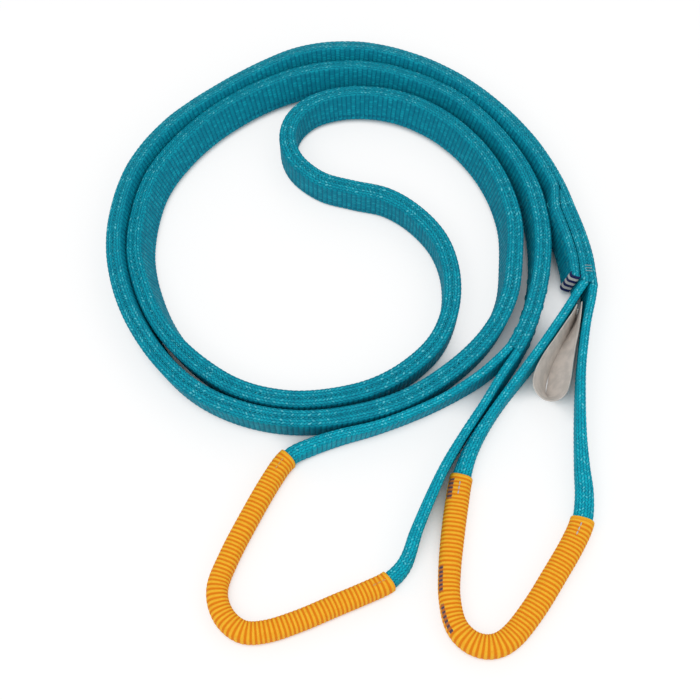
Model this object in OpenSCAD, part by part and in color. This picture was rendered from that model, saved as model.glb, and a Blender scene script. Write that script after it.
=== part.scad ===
// Flat web sling with an eye at each end, stored folded double and coiled on its edge.
// Travel runs from crotch B, round the outer turn, through the double fold and the
// inner turn, to crotch A. A lean is positive where the web tips to the right of travel.

/* [Web] */
// Width of the polyester web
web_w = 25; // [21:0.5:30]
// Thickness of one ply of the web
ply_t = 6.4; // [5.2:0.1:6.4]
// Seam allowance between two plies that are sewn together
ply_gap = 0.2; // [0.1:0.05:0.3]
// Length of the lapped tail at crotch B
tail_length = 60; // [40:1:64]
// Gap at each crotch between the body and its eye
crotch_gap = 0.4; // [0.3:0.05:0.6]

/* [Eyes] */
// Share of two plies' thickness that the folded web keeps inside a sleeve
fold_squeeze = 0.92; // [0.85:0.01:1]
// Wall of the wear sleeves
sleeve_wall = 1.2; // [0.8:0.1:1.6]
// Clearance between the folded web and its sleeve
sleeve_fit = 0.3; // [0.2:0.05:0.5]
// Heading of eye A from its crotch, in degrees from +X
eye_a_heading = 225; // [218:1:230]
// Heading of eye B from its crotch, in degrees from +X
eye_b_heading = 254; // [250:1:258]

/* [Label] */
// Width of the label tape
label_w = 22; // [16:0.5:23]
// Thickness of the label tape
label_t = 0.9; // [0.6:0.1:1]

/* [Thread] */
// Thickness of the sewing thread
thread_d = 1.2; // [0.8:0.1:1.5]
// Length of one stitch on the web
stitch_length = 5; // [4:0.5:6]
// Number of stitches in each splice row
splice_stitches = 9; // [5:1:9]
// Gap between a stitch and the web that it lies on
stitch_gap = 0.15; // [0.1:0.01:0.2]
// Turns of two-colour thread that whip the end of the web
whip_turns = 7; // [5:2:9]
// How far the whipping reaches back from the end of the web
whip_reach = 4; // [3:0.5:5]

/* [Hidden] */

web_colour = [0.0, 0.5, 0.58];
sleeve_colour = [0.96, 0.6, 0.12];
label_colour = [0.74, 0.72, 0.68];
body_thread = [0.0, 0.36, 0.44];
dark_thread = [0.08, 0.1, 0.26];
light_thread = [0.82, 0.83, 0.82];

// Body route, mid height of the two plies: x, y, lean
body_route = [[175, 44, 14], [173.2, 66, 15], [169.4, 86, 15], [163, 108, 16], [153, 138, 18],
    [137, 170, 20], [113, 202, 21], [84, 229, 23], [48, 250, 25], [8, 261, 26], [-33, 258, 26],
    [-72, 239, 25], [-110, 212, 25], [-140, 184, 25], [-162, 148, 25], [-172, 108, 25],
    [-172, 68, 25], [-161, 26, 22], [-140, -13, 17], [-113, -42, 14], [-80, -60, 12],
    [-42, -68, 11], [-2, -65, 11], [38, -52, 11], [73, -28, 11], [100, 1, 10], [116, 34, 11],
    [121, 70, 13], [121, 104, 15], [111, 140, 17], [93, 171, 19], [68, 196, 21],
    [38, 212, 22], [5, 217, 20], [-24, 211, 14], [-42, 196, 8], [-48, 176, 2], [-41, 155, 0],
    [-22, 138, 0], [2, 130, 0], [28, 123, 0], [50, 107, 0], [67, 84, -1], [75, 56, -2],
    [74, 26, -4], [64, -2, -6], [45, -24, -8], [19, -41, -10], [-12, -50, -11],
    [-44, -52, -11], [-77, -44, -12], [-105, -26, -14], [-130, 0, -17], [-147, 32, -22],
    [-157, 70, -25], [-156, 106, -25], [-147, 141, -25], [-127, 173, -25], [-100, 201, -25],
    [-66, 224, -25], [-28, 239, -25], [10, 242, -25], [45, 233, -24], [78, 215, -22],
    [104, 189, -20], [124, 159, -18], [137, 128, -16], [142.6, 95, -13], [142, 62, -9],
    [137, 33, -6], [129, 8, -4], [119, -12, -3]];

// Eye routes without their roots: x, y, lean, fold and spare width. Fold 0 is flat on edge and
// 1 is folded in two lengthwise
eye_a_route = [[107, -20, -4, 0, 0], [91, -34, -8, 0, 0], [67, -50, -13, 0, 0],
    [43, -62, -15, 0.08, 0], [18, -72, -15, 0.15, 0], [-7, -79, -10, 0.3, 0],
    [-28, -86, -4, 0.65, 0], [-44, -94, 0, 1, 0], [-56, -112, 0, 1, 0], [-71, -142, 0, 1, 0],
    [-84, -171, 0, 1, 0], [-91.5, -195, 0, 1, 0.4], [-87, -214, 0, 1, 0.8],
    [-74, -226, 0, 1, 0.8], [-57, -226, 0, 1, 0.4], [-34, -218, 0, 1, 0], [-10, -207, 0, 1, 0],
    [12, -197, 0, 1, 0], [27, -189, 0, 1, 0], [38.5, -176, 4, 0.75, 0], [46.5, -152, 8, 0.45, 0],
    [57, -126, 8, 0.3, 0], [67, -104, 8, 0.12, 0], [80, -81, 8, 0, 0], [95, -57, 7, 0, 0],
    [108, -36, 2, 0, 0]];
eye_b_route = [[165, 33, -8, 0, 0], [154, 13, 0, 0, 0], [140, -8, -2, 0, 0],
    [125, -29, -5, 0, 0], [110, -50, -7, 0.05, 0], [97, -70, -6, 0.25, 0],
    [86, -90, -3, 0.65, 0.8], [79, -110, 0, 1, 1.8], [75, -132, 0, 1, 2.2],
    [71.5, -157, 0, 1, 2], [69, -181, 0, 1, 1.2], [68.5, -202, 0, 1, 0.6],
    [72.5, -222, 0, 1, 0.8], [83, -234, 0, 1, 1.2], [97, -237, 0, 1, 2],
    [110.5, -229.5, 0, 1, 2.6], [126.5, -209, 0, 1, 2.8], [142.5, -183, 0, 1, 2.8],
    [155, -161.5, 0, 1, 2.8], [163, -143.5, 0, 1, 2.8], [165.5, -124, 0, 0.85, 2.2],
    [165, -104, 0, 0.65, 1], [165, -80, 0, 0.4, 0], [166, -55, 0, 0.15, 0],
    [168, -28, 0, 0, 0], [171, -6, 0, 0, 0], [174, 13, 2, 0, 0], [177, 30, 8, 0, 0]];
eye_a_sleeve_rows = [8, 19];
eye_b_sleeve_rows = [8, 20];

// Label route round its loop: x, y, lean
label_route = [[170.8, 29, -3], [168.2, 19, -10], [163.2, 6, -26], [158, -6, -42],
    [155.2, -18, -46], [152.8, -31, -47], [149.6, -42, -44], [143.4, -46, -37], [138, -40, -31],
    [138.8, -30, -25], [144, -17, -18], [152.2, -3, -13], [160.2, 11, -8], [165.2, 20, -4],
    [168, 26, -3]];

body_steps = 2;
eye_steps = 2;
label_steps = 2;

// ---- curves through rows of numbers ----
function row_at(rows, i) = i < 0 ? 2 * rows[0] - rows[1]
    : i >= len(rows) ? 2 * rows[len(rows) - 1] - rows[len(rows) - 2] : rows[i];
function blend_rows(a, b, c, d, t) = 0.5 * (2 * b + (c - a) * t
    + (2 * a - 5 * b + 4 * c - d) * t * t + (3 * b - a - 3 * c + d) * t * t * t);
function smooth_rows(rows, steps) = concat(
    [for (i = [0 : len(rows) - 2]) for (k = [0 : steps - 1])
        blend_rows(row_at(rows, i - 1), rows[i], rows[i + 1], row_at(rows, i + 2), k / steps)],
    [rows[len(rows) - 1]]);
function flat(p) = [p[0], p[1]];
function unit(v) = v / norm(v);
function along(stations, i) = unit(flat(stations[min(len(stations) - 1, i + 1)])
    - flat(stations[max(0, i - 1)]));
function right_of(t) = [t[1], -t[0]];
function run_to(stations, i) = i <= 0 ? 0
    : run_to(stations, i - 1) + norm(flat(stations[i]) - flat(stations[i - 1]));
function heading(angle) = [cos(angle), sin(angle)];
function smoothstep(x) = let (c = min(1, max(0, x))) c * c * (3 - 2 * c);

// One corner of a section: a is across the thickness, to the right, and b is up the width
function corner(p, t, lean, mid_z, a, b) = let (n = right_of(t), s = a * cos(lean) + b * sin(lean))
    [p[0] + n[0] * s, p[1] + n[1] * s, mid_z - a * sin(lean) + b * cos(lean)];
function mid_height(w, h, lean, base) = base + h / 2 * cos(lean) + w / 2 * abs(sin(lean));

// Slides a corner along the travel t until it lies at distance d past the hinge plane
function mitre(c, t, origin, facing, d) = let (k = (d - (flat(c) - origin) * facing) / (t * facing))
    [c[0] + t[0] * k, c[1] + t[1] * k, c[2]];

// ---- the sling is centred on its own outline ----
stack_half = ply_t + ply_gap / 2;
raw_body = smooth_rows(body_route, body_steps);
raw_ends = [for (i = [0 : len(raw_body) - 1]) let (r = raw_body[i], t = along(raw_body, i),
    z = mid_height(2 * stack_half, web_w, r[2], 0)) for (a = [-1, 1]) for (b = [-1, 1])
        corner(r, t, r[2], z, a * stack_half, b * web_w / 2)];
folded_w = 2 * ply_t * fold_squeeze;
folded_h = web_w / 2;
sleeve_skin = sleeve_wall + sleeve_fit;
raw_eye_b = smooth_rows(eye_b_route, eye_steps);
raw_bight = [for (i = [0 : len(raw_eye_b) - 1]) let (n = right_of(along(raw_eye_b, i)))
    flat(raw_eye_b[i]) + n * ((folded_w + raw_eye_b[i][4]) / 2 + sleeve_skin)];
x_middle = (min([for (c = raw_ends) c[0]]) + max([for (c = raw_ends) c[0]])) / 2;
y_middle = (min([for (c = raw_bight) c[1]]) + max([for (c = raw_ends) c[1]])) / 2;
function centred(rows) = [for (r = rows)
    [for (k = [0 : len(r) - 1]) k == 0 ? r[0] - x_middle : k == 1 ? r[1] - y_middle : r[k]]];

body = smooth_rows(centred(body_route), body_steps);
last = len(body) - 1;

// ---- crotches ----
crotch_a = flat(body[last]);
crotch_b = flat(body[0]);
facing_a = heading(eye_a_heading);
facing_b = heading(eye_b_heading);
travel_a = along(body, last);
travel_b = -along(body, 0);
half_gap = crotch_gap / 2;

// Whipping: the wall that lies on the web, the gap under it, the gap between two turns, and the
// room that it needs at the tail
whip_wall = thread_d / 2;
whip_gap = 0.15;
turn_gap = 0.4;
whip_room = whip_wall + 2 * whip_gap - ply_gap;
whip_end = half_gap + whip_gap;
web_end = whip_end + whip_wall + whip_gap;

// Centre of ply one, across the two-ply stack; it steps aside for the tail at crotch B
ply_pitch = ply_t + ply_gap;
tail_fade = 30;
tail_clearance = 4;
thinnest_tail = 1.5;
function step_aside(i) = 1 - smoothstep((run_to(body, i) - tail_length - tail_clearance)
    / tail_fade);
function ply_one_at(i) = -ply_pitch / 2 - (ply_pitch + whip_room) * step_aside(i);
ply_two_at = ply_pitch / 2;
// The tail thins out where ply one comes back beside ply two
function tail_thick(i) = min(ply_t, -ply_one_at(i) - (ply_t + 3 * ply_gap) / 2
    - whip_room * step_aside(i));
function tail_at(i) = -(ply_gap + tail_thick(i)) / 2;
tail_stations = len([for (i = [0 : last]) if (tail_thick(i) >= thinnest_tail) 1]);

function body_corner(i, a, b) = let (r = body[i])
    corner(r, along(body, i), r[2], mid_height(2 * stack_half, web_w, r[2], 0), a, b);
// Corner of the body's section, cut to the hinge plane at either end
function cut_corner(i, a, b, back) = let (c = body_corner(i, a, b))
    i == 0 ? mitre(c, travel_b, crotch_b, facing_b, -back)
    : i == last ? mitre(c, travel_a, crotch_a, facing_a, -half_gap) : c;

// Triangles of a tube of rings with m corners each, closed at both ends. The diagonals of one
// half run one way and those of the other half the other way, so that two plies lie parallel
function skin_faces(rings, m) = concat(
    [for (k = [1 : m - 2]) [0, k, k + 1]],
    [for (r = [0 : rings - 2]) for (k = [0 : m - 1]) let (a = r * m + k, b = (r + 1) * m + k,
        c = (r + 1) * m + (k + 1) % m, d = r * m + (k + 1) % m)
        each k < m / 2 ? [[a, b, c], [a, c, d]] : [[b, c, d], [b, d, a]]],
    [for (k = [1 : m - 2]) let (e = (rings - 1) * m) [e, e + k + 1, e + k]]);
module skin(points, m) {
    polyhedron(points = points, faces = skin_faces(len(points) / m, m), convexity = 12);
}

// A ply whose sections are given as [middle, thickness] from crotch B on
module web_ply(sections, back) {
    color(web_colour)
        skin([for (i = [0 : len(sections) - 1]) for (q = [[-1, -1], [1, -1], [1, 1], [-1, 1]])
            cut_corner(i, sections[i][0] + q[0] * sections[i][1] / 2, q[1] * web_w / 2, back)], 4);
}

module body_ply_one() {
    web_ply([for (i = [0 : last]) [ply_one_at(i), ply_t]], web_end);
}

module body_ply_two() {
    web_ply([for (i = [0 : last]) [ply_two_at, ply_t]], half_gap);
}

module lap_tail() {
    web_ply([for (i = [0 : tail_stations - 1]) [tail_at(i), tail_thick(i)]], half_gap);
}

// ---- eyes ----
// Root row of a leg: the middle of its ply, on the hinge plane
function root_row(i, a, travel, origin, facing, lean_sign) = let (
    c = mitre(body_corner(i, a, 0), travel, origin, facing, 0))
    [c[0], c[1], body[i][2] * lean_sign, 0, 0];
eye_a_rows = concat([root_row(last, ply_two_at, travel_a, crotch_a, facing_a, 1)],
    centred(eye_a_route), [root_row(last, -ply_pitch / 2, travel_a, crotch_a, facing_a, -1)]);
eye_b_rows = concat([root_row(0, -ply_pitch / 2, travel_b, crotch_b, facing_b, -1)],
    centred(eye_b_route), [root_row(0, ply_two_at, travel_b, crotch_b, facing_b, 1)]);
eye_a = smooth_rows(eye_a_rows, eye_steps);
eye_b = smooth_rows(eye_b_rows, eye_steps);

function eye_width(fold, spare) = ply_t + fold * (folded_w - ply_t) + spare;
function eye_height(fold) = web_w + fold * (folded_h - web_w);
function eye_base(fold) = sleeve_skin * smoothstep(fold);
// A section with its corners cut off, more so where it is folded, and grown all round by extra
function eye_ring(stations, i, extra, base) = let (r = stations[i], f = min(1, max(0, r[3])),
    w = eye_width(f, max(0, r[4])) / 2 + extra, h = eye_height(f) / 2 + extra,
    c = (0.3 + 0.2 * f) * w)
    [for (q = [[w, h - c], [w - c, h], [c - w, h], [-w, h - c], [-w, c - h], [c - w, -h],
        [w - c, -h], [w, c - h]])
        corner(r, along(stations, i), r[2], mid_height(2 * w, 2 * h, r[2], base), q[0], q[1])];

module eye_web(stations, origin, facing) {
    end = len(stations) - 1;
    color(web_colour)
        skin([for (i = [0 : end]) for (c = eye_ring(stations, i, 0, eye_base(stations[i][3])))
            i == 0 || i == end ? mitre(c, along(stations, i), origin, facing, half_gap) : c], 8);
}

module eye_a_web() {
    eye_web(eye_a, crotch_a, facing_a);
}

module eye_b_web() {
    eye_web(eye_b, crotch_b, facing_b);
}

// Sleeve over the route rows first to final: an outer skin joined to an inner one
module sleeve(stations, rows) {
    m = 8;
    first = rows[0] * eye_steps;
    final = rows[1] * eye_steps;
    rings = final - first + 1;
    outer = [for (i = [first : final]) each eye_ring(stations, i, sleeve_skin, 0)];
    inner = [for (i = [first : final]) each eye_ring(stations, i, sleeve_fit, sleeve_wall)];
    n = rings * m;
    walls = [for (r = [0 : rings - 2]) for (k = [0 : m - 1]) let (a = r * m + k,
        b = (r + 1) * m + k, c = (r + 1) * m + (k + 1) % m, d = r * m + (k + 1) % m)
        each [[a, b, c], [a, c, d], [n + a, n + c, n + b], [n + a, n + d, n + c]]];
    lips = [for (k = [0 : m - 1]) let (j = (k + 1) % m, e = n - m)
        each [[k, j, n + j], [k, n + j, n + k], [e + j, e + k, n + e + k],
            [e + j, n + e + k, n + e + j]]];
    color(sleeve_colour)
        polyhedron(points = concat(outer, inner), faces = concat(walls, lips), convexity = 12);
}

module eye_a_sleeve() {
    sleeve(eye_a, eye_a_sleeve_rows);
}

module eye_b_sleeve() {
    sleeve(eye_b, eye_b_sleeve_rows);
}

// ---- thread ----
// Places its children on the body at station i, at a across the plies and b up the width.
// There X runs with the travel, Y to the left and Z up the width.
module on_body(i, a, b) {
    r = body[i];
    t = along(body, i);
    translate(body_corner(i, a, b))
        rotate([0, 0, atan2(t[1], t[0])])
            rotate([r[2], 0, 0])
                children();
}

module stitch(length, width, height) {
    cube([length, width, height], center = true);
}

// Whipping: turns that wrap the end of ply one at crotch B, every other one of one colour
function whip_point(a, b, d) = let (p = cut_corner(0, a, b, web_end), q = body_corner(1, a, b))
    p + unit(q - p) * d;
module whipping(parity) {
    turn_h = web_w / whip_turns;
    half_turn = (turn_h - turn_gap) / 2;
    for (k = [parity : 2 : whip_turns - 1]) {
        b = (k + 0.5) * turn_h - web_w / 2;
        for (side = [-1, 1])
            let (a = ply_one_at(0) + side * (ply_t / 2 + whip_gap + whip_wall / 2))
            skin([for (d = [0, whip_reach]) for (q = [[-1, -1], [1, -1], [1, 1], [-1, 1]])
                whip_point(a + q[0] * whip_wall / 2, b + q[1] * half_turn, d)], 4);
        skin([for (back = [whip_end, whip_end + whip_wall])
            for (q = [[-1, -1], [1, -1], [1, 1], [-1, 1]])
                cut_corner(0, ply_one_at(0) + q[0] * (ply_t / 2 + whip_gap + whip_wall),
                    b + q[1] * half_turn, back)], 4);
    }
}

module end_whipping_dark() {
    color(dark_thread) whipping(0);
}

module end_whipping_light() {
    color(light_thread) whipping(1);
}

// Bound edge that closes the hidden end of the tail
module tail_end_binding() {
    color(dark_thread)
        on_body(tail_stations - 1, tail_at(tail_stations - 1), 0)
            translate([thread_d / 2 + 2 * stitch_gap, 0, 0])
                stitch(thread_d, tail_thick(tail_stations - 1) * 0.8, web_w * 0.9);
}

// Heights of the two rows of stitches, as shares of the web's width from its middle
stitch_rows = [-0.3, 0.3];
// Two rows of stitches between stations i and i + 1, at a and then at a_next across the plies.
// A twisting web bulges a little between the stations, so they stand off by that much
module stitch_pair(i, a, a_next) {
    bulge = sign(a) * web_w / 8 * abs(sin(body[i + 1][2] - body[i][2]));
    for (b = stitch_rows) {
        p = body_corner(i, a + bulge, b * web_w);
        q = body_corner(i + 1, a_next + bulge, b * web_w);
        translate((p + q) / 2)
            rotate([0, 0, atan2(q[1] - p[1], q[0] - p[0])])
                rotate([(body[i][2] + body[i + 1][2]) / 2, 0, 0])
                    stitch(stitch_length, thread_d / 2, thread_d);
    }
}

stitch_out = ply_t / 2 + stitch_gap + thread_d / 4;

module splice_a_stitches() {
    color(body_thread)
        for (k = [1 : splice_stitches])
            for (a = [-1, 1] * (ply_pitch / 2 + stitch_out))
                stitch_pair(last - 1 - k, a, a);
}

module splice_b_stitches() {
    color(body_thread) {
        for (i = [1 : tail_stations - 2])
            stitch_pair(i, ply_one_at(i) - stitch_out, ply_one_at(i + 1) - stitch_out);
        for (i = [1 : splice_stitches])
            stitch_pair(i, ply_two_at + stitch_out, ply_two_at + stitch_out);
    }
}

// Tack over the top edge at crotch B, which closes the tail to ply two
module crotch_b_tack() {
    color(light_thread)
        for (k = [0 : 2])
            on_body(1, 0, web_w / 2 + stitch_gap + thread_d / 4)
                translate([(k - 1) * 2 * thread_d, 0, 0])
                    stitch(thread_d, ply_t, thread_d / 2);
}

// ---- label ----
label = smooth_rows(centred(label_route), label_steps);
module label_strip() {
    color(label_colour)
        skin([for (i = [0 : len(label) - 1]) let (r = label[i])
            for (q = [[-1, -1], [1, -1], [1, 1], [-1, 1]])
                corner(r, along(label, i), r[2], mid_height(label_t, label_w, r[2], 0),
                    q[0] * label_t / 2, q[1] * label_w / 2)], 4);
}

// Heights of the label's tack stitches, as shares of its width
tack_rises = [0.6, 0.72, 0.84];
// Stitches that close the two ends of the label together near its root, in the upper half
// of the tape, because its ends draw together lower down
module label_bar_tack() {
    one = label[1];
    t = along(label, 1);
    two = label[len(label) - 2];
    across = abs((flat(two) - flat(one)) * right_of(t));
    middle = (one + two) / 2;
    color(light_thread)
        for (rise = tack_rises)
            translate([middle[0], middle[1], rise * label_w])
                rotate([0, 0, atan2(t[1], t[0])])
                    stitch(thread_d, across - label_t - 3 * stitch_gap, thread_d);
}

// ---- tacks that hold a sleeve to its web ----
module sleeve_tacks(stations, rows) {
    color(light_thread)
        for (i = [rows[0] * eye_steps + 1, rows[1] * eye_steps - 1])
            for (k = [-1, 0, 1]) {
                r = stations[i];
                t = along(stations, i);
                top = folded_h + 2 * sleeve_skin;
                translate([r[0] + t[0] * k * 3 * thread_d, r[1] + t[1] * k * 3 * thread_d,
                    top + 2 * stitch_gap + thread_d / 4])
                    rotate([0, 0, atan2(t[1], t[0])])
                        stitch(2 * thread_d, thread_d, thread_d / 2);
            }
}

module sleeve_a_tacks() {
    sleeve_tacks(eye_a, eye_a_sleeve_rows);
}

module sleeve_b_tacks() {
    sleeve_tacks(eye_b, eye_b_sleeve_rows);
}

body_ply_one();
body_ply_two();
lap_tail();
eye_a_web();
eye_b_web();
eye_a_sleeve();
eye_b_sleeve();
end_whipping_dark();
end_whipping_light();
tail_end_binding();
splice_a_stitches();
splice_b_stitches();
crotch_b_tack();
label_strip();
label_bar_tack();
sleeve_a_tacks();
sleeve_b_tacks();
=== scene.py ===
import math

import bpy
import numpy as np
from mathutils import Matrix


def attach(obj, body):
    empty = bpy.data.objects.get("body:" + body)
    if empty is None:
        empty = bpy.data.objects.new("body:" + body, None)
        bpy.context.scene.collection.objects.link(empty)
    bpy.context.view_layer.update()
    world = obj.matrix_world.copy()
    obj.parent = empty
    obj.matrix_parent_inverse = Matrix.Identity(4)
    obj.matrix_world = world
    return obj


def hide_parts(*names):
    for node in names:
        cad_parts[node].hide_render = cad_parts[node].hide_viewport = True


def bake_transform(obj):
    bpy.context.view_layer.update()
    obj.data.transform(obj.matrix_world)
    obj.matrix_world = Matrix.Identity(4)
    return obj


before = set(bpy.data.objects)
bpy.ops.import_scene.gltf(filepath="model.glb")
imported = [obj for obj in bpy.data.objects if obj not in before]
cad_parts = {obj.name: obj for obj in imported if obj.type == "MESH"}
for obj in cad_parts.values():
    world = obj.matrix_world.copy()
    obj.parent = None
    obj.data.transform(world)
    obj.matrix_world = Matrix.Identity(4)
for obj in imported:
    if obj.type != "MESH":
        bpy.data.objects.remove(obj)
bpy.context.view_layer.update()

camera = {"lens": 104.14, "distance": 1.5, "elevation": 60, "aim": (0.0001, -0.0137, 0)}


def placeCamera():
    tilt = math.radians(camera["elevation"])
    x, y, z = camera["aim"]
    bpy.ops.object.camera_add(
        location=(x, y - camera["distance"] * math.cos(tilt), z + camera["distance"] * math.sin(tilt)),
        rotation=(math.pi / 2 - tilt, 0, 0))
    bpy.context.object.data.lens = camera["lens"]
    bpy.context.scene.camera = bpy.context.object


bpy.ops.object.select_all(action="DESELECT")
placeCamera()
print("camera placed")

# Routes in metres: x, y and the lean in degrees, positive where the web tips to the right
bodyRoute = [(0.175, 0.044, 14), (0.1732, 0.066, 15), (0.1694, 0.086, 15), (0.163, 0.108, 16),
    (0.153, 0.138, 18), (0.137, 0.17, 20), (0.113, 0.202, 21), (0.084, 0.229, 23), (0.048, 0.25, 25),
    (0.008, 0.261, 26), (-0.033, 0.258, 26), (-0.072, 0.239, 25), (-0.11, 0.212, 25),
    (-0.14, 0.184, 25), (-0.162, 0.148, 25), (-0.172, 0.108, 25), (-0.172, 0.068, 25),
    (-0.161, 0.026, 22), (-0.14, -0.013, 17), (-0.113, -0.042, 14), (-0.08, -0.06, 12),
    (-0.042, -0.068, 11), (-0.002, -0.065, 11), (0.038, -0.052, 11), (0.073, -0.028, 11),
    (0.1, 0.001, 10), (0.116, 0.034, 11), (0.121, 0.07, 13), (0.121, 0.104, 15), (0.111, 0.14, 17),
    (0.093, 0.171, 19), (0.068, 0.196, 21), (0.038, 0.212, 22), (0.005, 0.217, 20),
    (-0.024, 0.211, 14), (-0.042, 0.196, 8), (-0.048, 0.176, 2), (-0.041, 0.155, 0),
    (-0.022, 0.138, 0), (0.002, 0.13, 0), (0.028, 0.123, 0), (0.05, 0.107, 0), (0.067, 0.084, -1),
    (0.075, 0.056, -2), (0.074, 0.026, -4), (0.064, -0.002, -6), (0.045, -0.024, -8),
    (0.019, -0.041, -10), (-0.012, -0.05, -11), (-0.044, -0.052, -11), (-0.077, -0.044, -12),
    (-0.105, -0.026, -14), (-0.13, 0, -17), (-0.147, 0.032, -22), (-0.157, 0.07, -25),
    (-0.156, 0.106, -25), (-0.147, 0.141, -25), (-0.127, 0.173, -25), (-0.1, 0.201, -25),
    (-0.066, 0.224, -25), (-0.028, 0.239, -25), (0.01, 0.242, -25), (0.045, 0.233, -24),
    (0.078, 0.215, -22), (0.104, 0.189, -20), (0.124, 0.159, -18), (0.137, 0.128, -16),
    (0.1426, 0.095, -13), (0.142, 0.062, -9), (0.137, 0.033, -6), (0.129, 0.008, -4),
    (0.119, -0.012, -3)]

eyeARoute = [(0.107, -0.02, -4, 0, 0), (0.091, -0.034, -8, 0, 0), (0.067, -0.05, -13, 0, 0),
    (0.043, -0.062, -15, 0.08, 0), (0.018, -0.072, -15, 0.15, 0), (-0.007, -0.079, -10, 0.3, 0),
    (-0.028, -0.086, -4, 0.65, 0), (-0.044, -0.094, 0, 1, 0), (-0.056, -0.112, 0, 1, 0),
    (-0.071, -0.142, 0, 1, 0), (-0.084, -0.171, 0, 1, 0), (-0.0915, -0.195, 0, 1, 0.0004),
    (-0.087, -0.214, 0, 1, 0.0008), (-0.074, -0.226, 0, 1, 0.0008), (-0.057, -0.226, 0, 1, 0.0004),
    (-0.034, -0.218, 0, 1, 0), (-0.01, -0.207, 0, 1, 0), (0.012, -0.197, 0, 1, 0),
    (0.027, -0.189, 0, 1, 0), (0.0385, -0.176, 4, 0.75, 0), (0.0465, -0.152, 8, 0.45, 0),
    (0.057, -0.126, 8, 0.3, 0), (0.067, -0.104, 8, 0.12, 0), (0.08, -0.081, 8, 0, 0),
    (0.095, -0.057, 7, 0, 0), (0.108, -0.036, 2, 0, 0)]

eyeBRoute = [(0.165, 0.033, -8, 0, 0), (0.154, 0.013, 0, 0, 0), (0.14, -0.008, -2, 0, 0),
    (0.125, -0.029, -5, 0, 0), (0.11, -0.05, -7, 0.05, 0), (0.097, -0.07, -6, 0.25, 0),
    (0.086, -0.09, -3, 0.65, 0.0008), (0.079, -0.11, 0, 1, 0.0018), (0.075, -0.132, 0, 1, 0.0022),
    (0.0715, -0.157, 0, 1, 0.002), (0.069, -0.181, 0, 1, 0.0012), (0.0685, -0.202, 0, 1, 0.0006),
    (0.0725, -0.222, 0, 1, 0.0008), (0.083, -0.234, 0, 1, 0.0012), (0.097, -0.237, 0, 1, 0.002),
    (0.1105, -0.2295, 0, 1, 0.0026), (0.1265, -0.209, 0, 1, 0.0028), (0.1425, -0.183, 0, 1, 0.0028),
    (0.155, -0.1615, 0, 1, 0.0028), (0.163, -0.1435, 0, 1, 0.0028), (0.1655, -0.124, 0, 0.85, 0.0022),
    (0.165, -0.104, 0, 0.65, 0.001), (0.165, -0.08, 0, 0.4, 0), (0.166, -0.055, 0, 0.15, 0),
    (0.168, -0.028, 0, 0, 0), (0.171, -0.006, 0, 0, 0), (0.174, 0.013, 2, 0, 0), (0.177, 0.03, 8, 0, 0)]

labelRoute = [(0.1708, 0.029, -3), (0.1682, 0.019, -10), (0.1632, 0.006, -26), (0.158, -0.006, -42),
    (0.1552, -0.018, -46), (0.1528, -0.031, -47), (0.1496, -0.042, -44), (0.1434, -0.046, -37),
    (0.138, -0.04, -31), (0.1388, -0.03, -25), (0.144, -0.017, -18), (0.1522, -0.003, -13),
    (0.1602, 0.011, -8), (0.1652, 0.02, -4), (0.168, 0.026, -3)]

# The routes are drawn about another origin, so each point moves by this much
routeShift = np.array((-0.000103, 0.013692))
crotchHeading = {"a": 225, "b": 254}  # which way each eye leaves the body, in degrees from +X
eyeRoutes = {"a": eyeARoute, "b": eyeBRoute}
fineSteps = 24  # steps between two points of a route, before it is cut into even lengths
halfSteps = 2  # stations for threads lie on a route's points and halfway between them

web = {"width": 0.025, "ply": 0.0064, "fullPly": 0.00654, "plyGap": 0.0002, "crotchGap": 0.0002,
       "ribPitch": 0.0038, "ringsPerRib": 4, "ribDepth": 0.0004, "edgeScallop": 0.0004,
       "ribWander": 0.0004, "edgeWander": 0.00008, "outerRound": 0.0026, "innerRound": 0.0004,
       "tailLength": 0.06, "tailFade": 0.03, "tailClearance": 0.004, "thinnestTail": 0.0014,
       "whipRoom": 0.0007, "whippedEnd": 0.0011, "whippedPinch": 0.16, "whippedReach": 0.009,
       "trimReach": 0.016, "grooveShape": 0.7, "lineStep": 10}


# ---- curves ----
def smoothRows(rows, steps):  # a Catmull-Rom curve through the rows
    rows = np.array(rows, float)
    before = np.vstack((2 * rows[0] - rows[1], rows[:-2]))
    after = np.vstack((rows[2:], 2 * rows[-1] - rows[-2]))
    here, following = rows[:-1], rows[1:]
    t = (np.arange(steps) / steps)[None, :, None]
    a, b, c, d = (part[:, None, :] for part in (before, here, following, after))
    curve = 0.5 * (2 * b + (c - a) * t + (2 * a - 5 * b + 4 * c - d) * t ** 2
                   + (3 * b - a - 3 * c + d) * t ** 3)
    return np.vstack((curve.reshape(-1, rows.shape[1]), rows[-1]))


def runAlong(rows):  # distance travelled over the floor at each row
    return np.concatenate(((0,), np.cumsum(np.linalg.norm(np.diff(rows[:, :2], axis=0), axis=1))))


def rowsAt(stops, run, fine):  # rows at given distances along a finely stepped curve
    return np.stack([np.interp(stops, run, column) for column in fine.T], axis=1)


def evenRows(rows, pitch):  # rows at even distances along a curve
    fine = smoothRows(rows, fineSteps)
    run = runAlong(fine)
    stops = np.linspace(0, run[-1], max(2, round(run[-1] / pitch)) + 1)
    return rowsAt(stops, run, fine), stops


def unit(v):
    return v / np.linalg.norm(v, axis=-1, keepdims=True)


def tangentsOf(rows):
    before = np.vstack((rows[:1, :2], rows[:-1, :2]))
    after = np.vstack((rows[1:, :2], rows[-1:, :2]))
    return unit(after - before)


def smoothStep(x):
    x = np.clip(x, 0, 1)
    return x * x * (3 - 2 * x)


def centred(rows):
    rows = np.array(rows, float)
    rows[:, :2] -= routeShift
    return rows


def headingOf(eye):
    angle = math.radians(crotchHeading[eye])
    return np.array((math.cos(angle), math.sin(angle)))


# ---- sections swept along a route ----
section = {"cornerSteps": 4, "faceShares": (-0.66, -0.33, 0, 0.33, 0.66), "rimFade": 1.3}


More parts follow.
